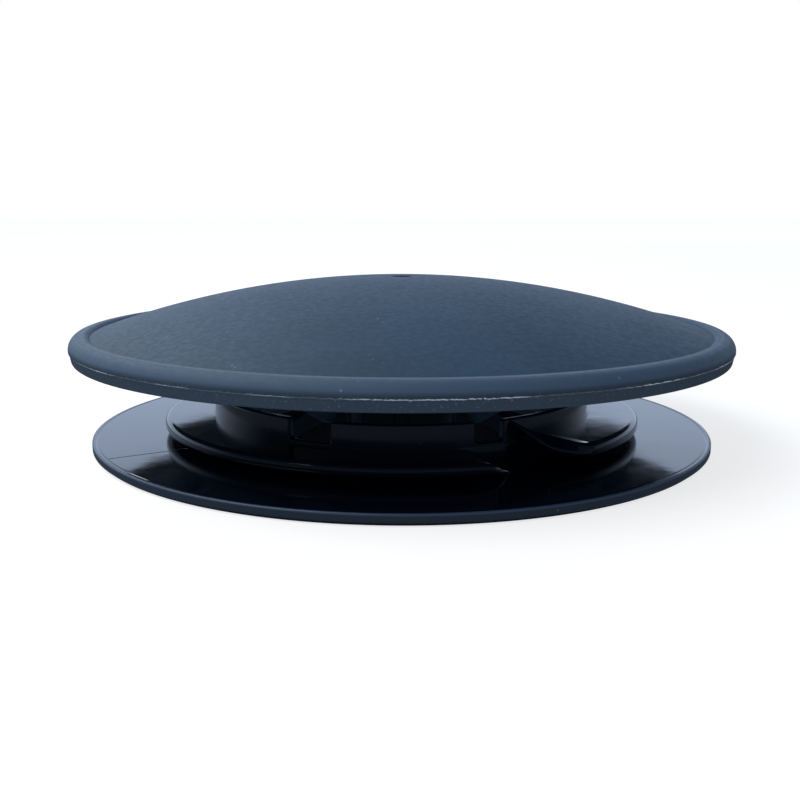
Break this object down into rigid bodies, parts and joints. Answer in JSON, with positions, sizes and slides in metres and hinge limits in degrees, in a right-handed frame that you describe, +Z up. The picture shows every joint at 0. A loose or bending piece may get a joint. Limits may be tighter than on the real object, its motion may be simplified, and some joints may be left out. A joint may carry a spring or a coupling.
{
  "type": "boat vent",
  "caption": "Round boat cover vent: a domed cap on radial fins over a glossy flanged base with a short neck and a screw-in lip for the cover's hole.",
  "frame": {"origin": "centre of the flange's underside", "axes": "+Z up along the vent's axis, -Y towards the front of the picture"},
  "size_m": [0.2286, 0.2286, 0.0565],
  "materials": {
    "cap": "fine moulded grain, smooth rim",
    "base": "glossy moulding",
    "spider": "satin moulding",
    "screw_steel": "stainless",
    "insert_brass": "turned",
    "gasket_rubber": "matte",
    "bolt_steel": "stainless",
    "clip_steel": "spring steel",
    "washer_steel": "stainless",
    "knob": "fine grain"
  },
  "bodies": {
    "base": {"base_flange": "base", "hub_spider": "spider", "spider_screws": "screw_steel"},
    "cap": {"domed_cap": "cap", "thread_insert": "insert_brass", "hub_gasket": "gasket_rubber"},
    "washer": {"knob_washer": "washer_steel"},
    "knob": {"hand_knob": "knob", "clamp_bolt": "bolt_steel", "bolt_clip": "clip_steel"}
  },
  "joints": [
    {"name": "cap_lift", "type": "slide", "parent": "base", "child": "cap", "axis": [0, 0, 1], "range_m": [0, 0.045]},
    {"name": "knob_travel", "type": "slide", "parent": "base", "child": "washer", "axis": [0, 0, -1], "range_m": [0, 0.0075]},
    {"name": "knob_turn", "type": "hinge", "parent": "washer", "child": "knob", "pos_m": [0, 0, 0.0146], "axis": [0, 0, 1], "range_deg": [-1801, 0]}
  ],
  "couplings": [
    {"joint": "knob_turn", "follows": "knob_travel", "rad_per_m": -4188.8}
  ]
}
